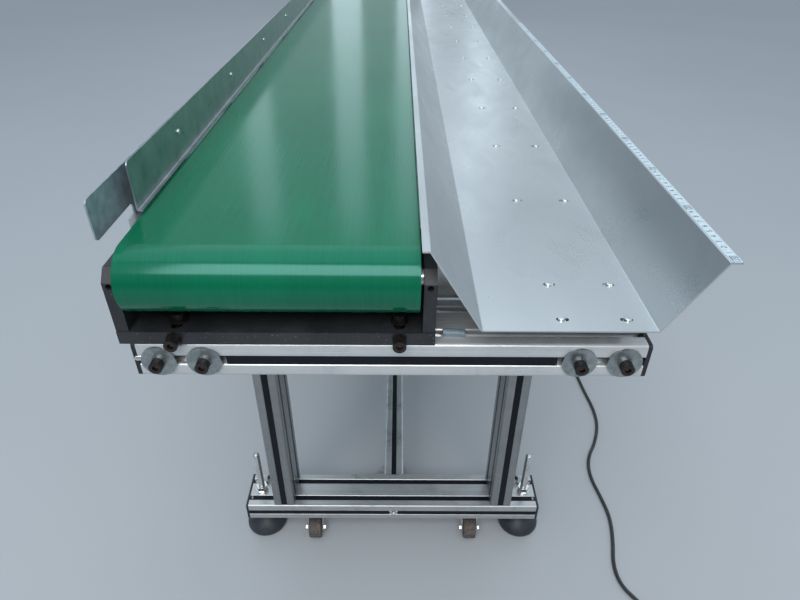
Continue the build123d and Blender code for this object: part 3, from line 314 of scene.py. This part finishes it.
# --- Table of finishes ---------------------------------------------------------------------------
def make_finishes():
    """Every finish by name, each at the grain and wear that its surface shows."""
    return {
        "belt": belt_material(),
        # Four copies of the same anodising that differ only in painted shade: legs and base beams are painted
        # much darker for the shade near the floor, and cross beams and side rails are painted slightly
        # darker.
        "profile_x": profile_material("anodised_along_x", "X", 0.88, 0.4),
        "profile_base": profile_material("anodised_base_painted_darker", "X", 0.72, 0.55),
        "profile_y": profile_material("anodised_along_y", "Y", 0.9),
        "profile_z": profile_material("anodised_along_z_painted_darker", "Z", 0.47, 0.85),
        "tray": tray_material(),
        "tape": tape_material(),
        "black_plastic": finish("black_plastic", (0.008, 0.009, 0.012), (0.02, 0.022, 0.028), (0.35, 0.55),
                                blotch=15, grain=0.6, depth=0.02, specks=(1.6, 0.74, (0.12, 0.12, 0.12))),
        "slot_cover": finish("slot_cover", (0.003, 0.005, 0.009), (0.007, 0.010, 0.016), (0.4, 0.6),
                             gloss=0.22, blotch=30, grain=0.5, stretch=(40, 1, 1), depth=0.01,
                             specks=(1.8, 0.75, (0.10, 0.10, 0.10))),
        "black_anodised": finish("black_anodised", (0.016, 0.017, 0.020), (0.034, 0.036, 0.040), (0.38, 0.55),
                                 blotch=35, grain=0.45, depth=0.02, specks=(1.3, 0.735, (0.38, 0.38, 0.36))),
        "black_screw": finish("black_screw", (0.018, 0.016, 0.016), (0.05, 0.045, 0.042), (0.3, 0.5),
                              metallic=0.6, blotch=4, grain=0.3, depth=0.02,
                              specks=(1.0, 0.72, (0.22, 0.09, 0.04))),
        "rust": finish("rusty_socket", (0.16, 0.06, 0.03), (0.36, 0.17, 0.09), (0.6, 0.85),
                       metallic=0.2, blotch=1.2, grain=0.3, depth=0.08,
                       specks=(0.8, 0.7, (0.03, 0.02, 0.02))),
        "zinc": finish("bright_zinc", (0.62, 0.63, 0.62), (0.85, 0.85, 0.83), (0.18, 0.32),
                       metallic=1.0, blotch=4, grain=0.35, depth=0.01, specks=(1.3, 0.76, (0.3, 0.25, 0.2))),
        "dull_zinc": finish("dull_zinc", (0.27, 0.30, 0.31), (0.46, 0.49, 0.48), (0.34, 0.5),
                            metallic=1.0, blotch=6, grain=0.5, depth=0.02,
                            specks=(1.1, 0.75, (0.75, 0.76, 0.75))),
        "die_cast": finish("die_cast", (0.42, 0.43, 0.44), (0.6, 0.61, 0.62), (0.4, 0.6),
                           metallic=1.0, blotch=8, grain=0.6, depth=0.05),
        "fork_zinc": finish("fork_zinc", (0.5, 0.5, 0.48), (0.78, 0.77, 0.74), (0.14, 0.3),
                            metallic=1.0, blotch=6, grain=0.4, depth=0.01,
                            specks=(1.6, 0.74, (0.2, 0.15, 0.11))),
        "wheel": finish("wheel_rubber", (0.06, 0.045, 0.04), (0.17, 0.14, 0.12), (0.5, 0.8),
                        blotch=5, grain=0.6, depth=0.06, specks=(1.4, 0.7, (0.3, 0.27, 0.24))),
        "foot": finish("foot_moulding", (0.020, 0.025, 0.032), (0.040, 0.048, 0.058), (0.36, 0.5),
                       blotch=20, grain=0.7, depth=0.03, specks=(1.8, 0.76, (0.1, 0.1, 0.1))),
        "sheet": finish("guard_sheet", (0.34, 0.38, 0.39), (0.5, 0.54, 0.55), (0.26, 0.42),
                        metallic=1.0, blotch=24, grain=0.7, stretch=(1, 4, 1), depth=0.01,
                        specks=(1.6, 0.77, (0.2, 0.15, 0.12))),
        "arm": finish("bracket_sheet", (0.26, 0.33, 0.37), (0.42, 0.49, 0.53), (0.3, 0.46),
                      metallic=0.4, blotch=9, grain=0.7, depth=0.015, specks=(2.0, 0.77, (0.08, 0.08, 0.08))),
        "stud": finish("stud_zinc", (0.68, 0.68, 0.66), (0.84, 0.84, 0.81), (0.24, 0.34),
                       metallic=1.0, blotch=14, grain=0.35, depth=0.004),
        "galvanised": finish("galvanised", (0.48, 0.5, 0.51), (0.68, 0.7, 0.7), (0.3, 0.48),
                             metallic=1.0, blotch=12, grain=0.8, depth=0.015),
        "roller_steel": finish("roller_steel", (0.5, 0.5, 0.5), (0.68, 0.68, 0.67), (0.2, 0.34),
                               metallic=1.0, blotch=14, grain=0.35, stretch=(40, 1, 1), depth=0.01),
        "roller_rubber": finish("roller_rubber", (0.012, 0.012, 0.013), (0.03, 0.03, 0.03), (0.6, 0.8),
                                blotch=12, grain=0.8, depth=0.08),
        "bronze": finish("bronze", (0.42, 0.26, 0.1), (0.6, 0.4, 0.18), (0.25, 0.42),
                         metallic=1.0, blotch=5, grain=0.4, depth=0.01),
        "motor": finish("motor_paint", (0.03, 0.045, 0.06), (0.05, 0.07, 0.09), (0.32, 0.48),
                        blotch=20, grain=0.8, depth=0.03, specks=(2.0, 0.76, (0.15, 0.15, 0.15)), coat=0.2),
        "gearbox": finish("gearbox_casting", (0.45, 0.46, 0.47), (0.6, 0.61, 0.61), (0.42, 0.6),
                          metallic=0.9, blotch=10, grain=0.9, depth=0.07),
        "control": finish("control_box", (0.2, 0.21, 0.21), (0.27, 0.28, 0.28), (0.42, 0.55),
                          blotch=30, grain=0.8, depth=0.05),
        "knob": finish("knob", (0.012, 0.012, 0.012), (0.024, 0.024, 0.024), (0.35, 0.5),
                       blotch=6, grain=0.4, depth=0.02),
        "cable": finish("cable_rubber", (0.022, 0.024, 0.026), (0.045, 0.048, 0.050), (0.4, 0.55),
                        blotch=25, grain=0.5, depth=0.02, specks=(1.6, 0.75, (0.16, 0.16, 0.15))),
        "ink": finish("tape_ink", (0.015, 0.025, 0.09), (0.03, 0.05, 0.16), (0.35, 0.5),
                      blotch=3, grain=0.4, depth=0.01),
        "insert": finish("slot_insert", (0.16, 0.22, 0.26), (0.27, 0.34, 0.39), (0.35, 0.55),
                         metallic=0.1, blotch=4, grain=0.6, depth=0.03),
    }


corners = [f"{end}_{side}" for end in ("front", "rear") for side in ("left", "right")]
finish_of_node = {
    "profile_x": ("front_cross_beam", "rear_cross_beam"),
    "profile_base": ("front_base_beam", "rear_base_beam"),
    "profile_y": ("left_side_rail", "right_side_rail", "base_tie_beam"),
    "profile_z": ("front_left_leg", "front_right_leg", "rear_left_leg", "rear_right_leg"),
    "black_plastic": ("end_caps", "cable_gland"),
    "slot_cover": ("slot_covers",),
    "black_anodised": ("nose_plate", "drive_plate", "roller_brackets"),
    "black_screw": ("socket_screws",),
    "dull_zinc": ("beam_washers",),
    "zinc": ("frame_screws", "foot_nuts", "sheet_screws", "nose_shaft", "drive_shaft", "nose_bearings"),
    "die_cast": ("corner_brackets",),
    "belt": ("belt",),
    "tray": ("tray",),
    "tape": ("tray_ruler",),
    "sheet": ("guard",),
    "arm": ("guard_brackets",),
    "galvanised": ("slider_bed", "tray_rails", "tray_cradles", "bed_rails", "caster_plates"),
    "roller_steel": ("nose_roller", "worm_shaft"),
    "roller_rubber": ("drive_roller",),
    "bronze": ("drive_bushes", "worm_wheel"),
    "motor": ("motor",),
    "gearbox": ("gearbox_housing",),
    "control": ("control_box",),
    "knob": ("speed_knob",),
    "fork_zinc": tuple(f"caster_fork_{corner}" for corner in corners),
    "wheel": tuple(f"caster_wheel_{corner}" for corner in corners),
}


def paint_nodes(finishes):
    for name, node_names in finish_of_node.items():
        for node_name in node_names:
            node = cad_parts[node_name]
            node.data.materials.clear()
            node.data.materials.append(finishes[name])


# --- Mesh helpers --------------------------------------------------------------------------------
def piece_from(name, mesh_builder, material, body, sharp=35):
    """Object from a bmesh, riding on a body, with its finish and material slot."""
    mesh = bpy.data.meshes.new(name)
    bmesh.ops.recalc_face_normals(mesh_builder, faces=mesh_builder.faces)
    mesh_builder.to_mesh(mesh)
    mesh_builder.free()
    mesh.shade_smooth()
    mesh.set_sharp_from_angle(angle=math.radians(sharp))
    mesh.materials.append(material)
    piece = bpy.data.objects.new(name, mesh)
    bpy.context.scene.collection.objects.link(piece)
    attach(piece, body)
    return piece


def add_rings(builder, rings, close_ends=True):
    """Skin a list of rings of points, each given as the same number of vectors."""
    rows = [[builder.verts.new(point) for point in ring] for ring in rings]
    count = len(rows[0])
    for first, second in zip(rows, rows[1:]):
        for index in range(count):
            following = (index + 1) % count
            builder.faces.new((first[index], first[following], second[following], second[index]))
    if close_ends:
        builder.faces.new(list(reversed(rows[0])))
        builder.faces.new(rows[-1])


def around(segments):
    """Angles of that many equal steps round a circle."""
    return [2 * math.pi * index / segments for index in range(segments)]


def revolved(builder, centre, outline, segments=72):
    """Surface of revolution about a vertical line, from (radius, height) pairs in mm."""
    rings = []
    for radius, height in outline:
        rings.append([centre + Vector((radius * math.cos(angle), radius * math.sin(angle), height)) * MM
                      for angle in around(segments)])
    add_rings(builder, rings)


# --- Levelling feet ------------------------------------------------------------------------------
foot_neck = 15.0            # radius
foot_height = 45.0
stud_start = 40.0           # height above the floor, inside the pad's socket
stud_radius = 6.0
stud_pitch = 1.25
thread_depth = 0.26         # share of the pitch
tip_chamfer = 1.6
tip_slope = 0.8


def bell_outline(radius, neck, height):
    """Half section of the bell pad: rounded rim, swelling flank, neck and socket for the stud."""
    outline = [(radius - 5, 0), (radius - 2.4, 0.5), (radius - 0.7, 1.8), (radius, 4.0)]
    flank_start, flank_end = 6.5, height - 2.5
    steps = 22
    for step in range(steps + 1):
        share = step / steps
        swell = (0.5 + 0.5 * math.cos(math.pi * share)) ** 0.85
        outline.append((neck + (radius - neck) * swell, flank_start + (flank_end - flank_start) * share))
    outline += [(neck, height - 1.2), (neck - 1.2, height), (6.4, height), (6.2, height - 1.5)]
    return outline


def threaded(builder, centre, bottom, top, radius, pitch, samples=5, segments=20):
    """Rod with a helical V thread and a chamfered tip, heights in mm above the centre."""
    depth = pitch * thread_depth
    count = int((top - bottom) / pitch * samples)
    rings = []
    for row in range(count + 1):
        height = bottom + (top - bottom) * row / count
        ring = []
        for index, angle in enumerate(around(segments)):
            phase = (height / pitch - index / segments) % 1.0
            groove = depth * (1 - abs(2 * phase - 1))
            tip = max(0.0, tip_chamfer - (top - height)) * tip_slope
            size = radius - max(groove, tip)
            ring.append(centre + Vector((size * math.cos(angle), size * math.sin(angle), height)) * MM)
        rings.append(ring)
    add_rings(builder, rings)


def make_feet(finishes):
    for corner in corners:
        node = f"foot_{corner}"
        low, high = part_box(node)
        centre = Vector(((low.x + high.x) / 2, (low.y + high.y) / 2, low.z))
        radius = (high.x - low.x) / 2 / MM
        pad = bmesh.new()
        revolved(pad, centre, bell_outline(radius, foot_neck, foot_height))
        pad_piece = piece_from(f"foot_pad_{corner}", pad, finishes["foot"], node, 50)
        stud = bmesh.new()
        threaded(stud, centre, stud_start, (high.z - low.z) / MM, stud_radius, stud_pitch)
        stud_piece = piece_from(f"foot_stud_{corner}", stud, finishes["stud"], node, 80)
        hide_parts(node)
        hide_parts(node)


# --- Measuring tape numbers ----------------------------------------------------------------------
digit_size = 7.2
decade_size = 6.4
first_decade = 6.0                  # distance from the tape's front end to the first boxed number
first_decade_value = 10
box_half_width, box_half_length = 2.9, 4.2
box_line = 0.3                      # half the line's width
ink_lift = 0.00005                  # metres above the tape


def glyph_mesh(text, size):
    """Flat mesh of a text, centred on its origin, size in mm."""
    curve = bpy.data.curves.new("glyph", "FONT")
    curve.body = text
    curve.size = size * MM
    curve.align_x = "CENTER"
    curve.align_y = "CENTER"
    curve.resolution_u = 3
    holder = bpy.data.objects.new("glyph", curve)
    bpy.context.scene.collection.objects.link(holder)
    bpy.context.view_layer.update()
    mesh = bpy.data.meshes.new_from_object(holder)
    bpy.data.objects.remove(holder)
    bpy.data.curves.remove(curve)
    return mesh


def add_box_outline(builder, centre):
    """Four thin strips round a decade number."""
    for sign in (-1, 1):
        ends = ((0, sign * box_half_length), (box_half_width, box_line))
        sides = ((sign * box_half_width, 0), (box_line, box_half_length))
        for shift, size in (ends, sides):
            points = [centre + Vector((shift[0] + a * size[0], shift[1] + b * size[1], 0)) * MM
                      for a, b in ((-1, -1), (1, -1), (1, 1), (-1, 1))]
            builder.faces.new([builder.verts.new(point) for point in points])


def make_tape_numbers(finishes):
    """Centimetre numbers along the tape, with the full decades in dark boxes."""
    low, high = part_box("tray_ruler")
    middle = (low.x + high.x) / 2
    turn = Matrix.Rotation(math.radians(90), 4, "Z")
    meshes = {digit: glyph_mesh(str(digit), digit_size) for digit in range(1, 10)}
    builder = bmesh.new()
    length = (high.y - low.y) / MM
    for centimetre in range(int((length - first_decade) // 10)):
        along = low.y + (first_decade + centimetre * 10) * MM
        place = Vector((middle, along, high.z + ink_lift))
        digit = centimetre % 10
        mesh = meshes[digit] if digit else glyph_mesh(str(centimetre + first_decade_value), decade_size)
        start = len(builder.verts)
        builder.from_mesh(mesh)
        builder.verts.ensure_lookup_table()
        matrix = Matrix.Translation(place) @ turn
        bmesh.ops.transform(builder, matrix=matrix, verts=builder.verts[start:])
        if not digit:
            add_box_outline(builder, place)
    piece_from("tape_numbers", builder, finishes["ink"], "frame")
    for mesh in meshes.values():
        bpy.data.meshes.remove(mesh)


# --- Small pieces in the slots and sockets -------------------------------------------------------
def turned_rod(builder, start, direction, outline, segments=28):
    """Turned shape from a start point along a direction, from (distance, radius) pairs in mm."""
    direction = Vector(direction).normalized()
    side = direction.orthogonal().normalized()
    other = direction.cross(side)
    rings = []
    for distance, radius in outline:
        centre = Vector(start) + direction * distance * MM
        rings.append([centre + (side * math.cos(angle) + other * math.sin(angle)) * radius * MM
                      for angle in around(segments)])
    add_rings(builder, rings)


insert_start = (49.5, 36.4)         # in the top slot of the front beam
insert_above = 0.6                  # its middle line above the beam's top
insert_outline = [(0, 4.3), (0.4, 4.9), (21.0, 4.9), (21.5, 4.5)]
stub_start = (-251.0, 20.0)         # in the front slot of the front beam
stub_above = 2                      # its middle line above the beam's middle
stub_outline = [(0, 2.8), (0.6, 3.6), (2.4, 3.6), (2.8, 4.2), (8.5, 4.2), (9.0, 3.4), (13, 3.4), (13.5, 2.8)]


def make_slot_pieces(finishes):
    """Grey insert lying in the top slot of the front beam, and a bright stub in its front slot."""
    top = beam_high.z / MM
    middle = (beam_low.z + beam_high.z) / 2 / MM
    insert = bmesh.new()
    turned_rod(insert, at(*insert_start, top + insert_above), (1, -0.10, 0.0), insert_outline)
    piece_from("slot_insert", insert, finishes["insert"], "frame")
    stub = bmesh.new()
    turned_rod(stub, at(*stub_start, middle + stub_above), (1, 0, 0), stub_outline)
    piece_from("slot_stub", stub, finishes["zinc"], "frame")


slot_from_edge = 20 * MM            # middle of a slot to the beam's nearest face
strip_half_width = 5 * MM
strip_top, strip_bottom = 1.2 * MM, 1.9 * MM    # below the beam's top
cap_depth = 6 * MM                  # a strip ends this far from the end caps' outer faces


def make_base_slot_covers(finishes):
    """Dark strips lying in the top slots of the front base beam and of the tie beam, as painted shade for the
    slot recesses.
    """
    low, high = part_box("front_base_beam")
    left, right = (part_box(f"front_{side}_leg") for side in ("left", "right"))
    front_slot, rear_slot = low.y + slot_from_edge, high.y - slot_from_edge
    spans = ((low.x + cap_depth, left[0].x, front_slot), (left[1].x, right[0].x, front_slot),
             (right[1].x, high.x - cap_depth, front_slot), (left[1].x, right[0].x, rear_slot))
    strips = [((start, slot - strip_half_width), (end, slot + strip_half_width))
              for start, end, slot in spans]
    tie_low, tie_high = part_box("base_tie_beam")
    middle = (tie_low.x + tie_high.x) / 2
    strips.append(((middle - strip_half_width, tie_low.y), (middle + strip_half_width, tie_high.y)))
    builder = bmesh.new()
    for (x_start, y_start), (x_end, y_end) in strips:
        outline = ((x_start, y_start), (x_end, y_start), (x_end, y_end), (x_start, y_end))
        add_rings(builder, [[Vector((x, y, high.z - below)) for x, y in outline]
                            for below in (strip_bottom, strip_top)])
    # painted shade: the dark cover finish stands in for the shade inside the slots
    piece_from("base_slot_painted_shade", builder, finishes["slot_cover"], "frame")


beam_screw_x = (-226, -182, 182, 226)
plate_screw_x = (-206.0, 7.4)
washers_and_head = 5 + 8            # the beam screws' heads stand this far in front of the beam
socket_depth = 3.9
socket_radius = 3.0
rust_thickness = 0.05


def make_socket_rust(finishes):
    """Brown rust at the bottom of the screw sockets that face the front."""
    builder = bmesh.new()
    plate_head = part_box("socket_screws")[0].y
    beam_head = beam_low.y - washers_and_head * MM
    beam_middle = (beam_low.z + beam_high.z) / 2
    plate_low, plate_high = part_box("nose_plate")
    plate_middle = (plate_low.z + plate_high.z) / 2
    places = [(x, beam_head, beam_middle) for x in beam_screw_x]
    places += [(x, plate_head, plate_middle) for x in plate_screw_x]
    for x, head, z in places:
        centre = Vector((origin.x + x * MM, head + socket_depth * MM, z))
        ring = [centre + Vector((math.cos(angle), 0, math.sin(angle))) * socket_radius * MM
                for angle in (math.radians(60 * index + 30) for index in range(6))]
        back = [point + Vector((0, rust_thickness, 0)) * MM for point in ring]
        add_rings(builder, [ring, back])
    piece_from("socket_rust", builder, finishes["rust"], "frame")


# --- Mains cable ---------------------------------------------------------------------------------
cable_floor = 3.6           # height of the middle line where the cable lies on the floor
cable_route = [
    (268, 1000, 602), (268, 1000, 548), (272, 1004, 452), (279, 1006, 352), (290, 1001, 254),
    (305, 992, 162), (326, 982, 82), (358, 972, 24), (408, 956, cable_floor), (462, 922, cable_floor),
    (491, 862, cable_floor), (496, 800, cable_floor), (499, 745, cable_floor), (506, 688, cable_floor),
    (503, 628, cable_floor), (480, 568, cable_floor), (449, 518, cable_floor), (441, 466, cable_floor),
    (450, 412, cable_floor), (456, 358, cable_floor), (445, 300, cable_floor), (430, 250, cable_floor),
    (433, 208, cable_floor), (456, 176, cable_floor), (478, 148, cable_floor), (489.5, 118, cable_floor),
    (490, 96, cable_floor),
]
coil_centre = (444.5, 100.0)
coil_rings = [(45.5, 3.6), (38.5, 3.6), (38.5, 10.6), (38.5, 17.6), (45.5, 17.6), (45.5, 10.6)]
full_turns = 6
points_per_turn = 16
step_share = 0.3            # part of each turn over which the cable crosses to the next ring
plug_axis = (54.5, 13.0)    # y and z of the plug's middle line
plug_tail = 424.0           # x where the cable enters the plug
pins_from_tail = 64.5       # left of this distance from the tail are the plug's pins
cable_radius = 3.5


def coil_points():
    """Six and a quarter turns, seen from above clockwise from the coil's right side."""
    points = []
    for index in range(1, full_turns * points_per_turn + points_per_turn // 4 + 1):
        turns = index / points_per_turn
        ring = min(int(turns), len(coil_rings) - 1)
        following = min(ring + 1, len(coil_rings) - 1)
        share = max(0.0, (turns - ring - (1 - step_share)) / step_share) if turns < len(coil_rings) else 0.0
        radius, height = (this * (1 - share) + then * share
                          for this, then in zip(coil_rings[ring], coil_rings[following]))
        angle = -2 * math.pi * turns
        points.append((coil_centre[0] + radius * math.cos(angle),
                       coil_centre[1] + radius * math.sin(angle), height))
    return points


def make_cable(finishes):
    """The mains lead from the gland down to the floor, along the conveyor and into its coil."""
    points = cable_route + coil_points()
    points += [(434, plug_axis[0], 12.4), (plug_tail, *plug_axis), (plug_tail - 6, *plug_axis)]
    curve = bpy.data.curves.new("mains_lead", "CURVE")
    curve.dimensions = "3D"
    curve.bevel_depth = cable_radius * MM
    curve.bevel_resolution = 6
    curve.use_fill_caps = True
    curve.resolution_u = 6
    spline = curve.splines.new("NURBS")
    spline.points.add(len(points) - 1)
    for control, point in zip(spline.points, points):
        control.co = (*at(*point), 1)
    spline.order_u = 3
    spline.use_endpoint_u = True
    curve.materials.append(finishes["cable"])
    lead = bpy.data.objects.new("mains_lead", curve)
    bpy.context.scene.collection.objects.link(lead)
    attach(lead, "frame")
    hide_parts("mains_cable", "cable_coil")
    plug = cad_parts["mains_plug"]
    plug.data.materials.clear()
    plug.data.materials.append(plug_material(at(plug_tail - pins_from_tail, 0, 0).x))


# --- Studio --------------------------------------------------------------------------------------
floor_reach = 14.0          # metres
floor_below = 0.0006        # metres


def make_floor():
    material, tree, shader = new_material("studio_floor")
    cloud = noise(tree, 900, detail=2.0)
    grey = blend_colours(tree, cloud, (0.43, 0.45, 0.47), (0.47, 0.49, 0.51))
    tree.links.new(grey, shader.inputs["Base Color"])
    shader.inputs["Roughness"].default_value = 0.85
    mesh = bpy.data.meshes.new("floor")
    mesh.from_pydata([(x * floor_reach, y * floor_reach, 0) for x, y in ((-1, -1), (1, -1), (1, 1), (-1, 1))],
                     [], [(0, 1, 2, 3)])
    mesh.materials.append(material)
    floor = bpy.data.objects.new("floor", mesh)
    floor.location.z = -floor_below
    bpy.context.scene.collection.objects.link(floor)


def soft_box(name, place, target, size, power, colour):
    """Large rectangular light aimed at a point, places in metres."""
    data = bpy.data.lights.new(name, "AREA")
    data.shape = "RECTANGLE"
    data.size, data.size_y = size
    data.energy = power
    data.color = colour
    light = bpy.data.objects.new(name, data)
    bpy.context.scene.collection.objects.link(light)
    light.location = place
    aim = Vector(target) - Vector(place)
    light.rotation_euler = aim.to_track_quat("-Z", "Y").to_euler()
    light.visible_camera = False


sky_front = (0.20, 0.21, 0.23)
sky_back = (0.34, 0.40, 0.44)
sky_left = (0.06, 0.10, 0.14)
sky_top = (0.58, 0.67, 0.76)


def sky(world):
    """Soft sky: bright overhead and behind the conveyor, dim low down in front and on the left."""
    tree = world.node_tree
    place = add(tree, "ShaderNodeTexCoord")
    axes = add(tree, "ShaderNodeSeparateXYZ")
    tree.links.new(place.outputs["Generated"], axes.inputs["Vector"])
    height = spread(tree, axes.outputs["Z"], (0.0, 0.75), (0, 1))
    behind = spread(tree, axes.outputs["Y"], (-0.6, 0.6), (0, 1))
    leftwards = spread(tree, axes.outputs["X"], (-0.15, -0.55), (0, 1))
    horizon = blend_colours(tree, behind, sky_front, sky_back)
    horizon = blend_colours(tree, leftwards, horizon, sky_left)
    colour = blend_colours(tree, height, horizon, sky_top)
    tree.links.new(colour, tree.nodes["Background"].inputs["Color"])


def make_lights():
    world = bpy.data.worlds.new("studio")
    bpy.context.scene.world = world
    world.use_nodes = True
    sky(world)
    soft_box("overhead", (0, 0.3, 3.6), (0, 0, 0), (3.2, 4.0), 30, (0.80, 0.92, 1.0))
    soft_box("behind_camera", (-0.25, -3.1, 3.4), (0, -1.0, 0.8), (2.4, 1.9), 74, (1.0, 0.99, 0.97))
    for index, x in enumerate((-1.5, -0.5, 0.15, 0.9)):
        aim = (x / 2, 0, 0.8)
        soft_box(f"back_strip_{index}", (x, 5.0, 2.4), aim, (0.3, 3.0), 2.2, (0.75, 0.9, 1.0))


def main():
    make_camera()
    finishes = make_finishes()
    make_cable(finishes)
    paint_nodes(finishes)
    make_feet(finishes)
    make_tape_numbers(finishes)
    make_slot_pieces(finishes)
    make_base_slot_covers(finishes)
    make_socket_rust(finishes)
    make_floor()
    make_lights()
    bpy.context.scene.view_settings.view_transform = "Standard"


main()
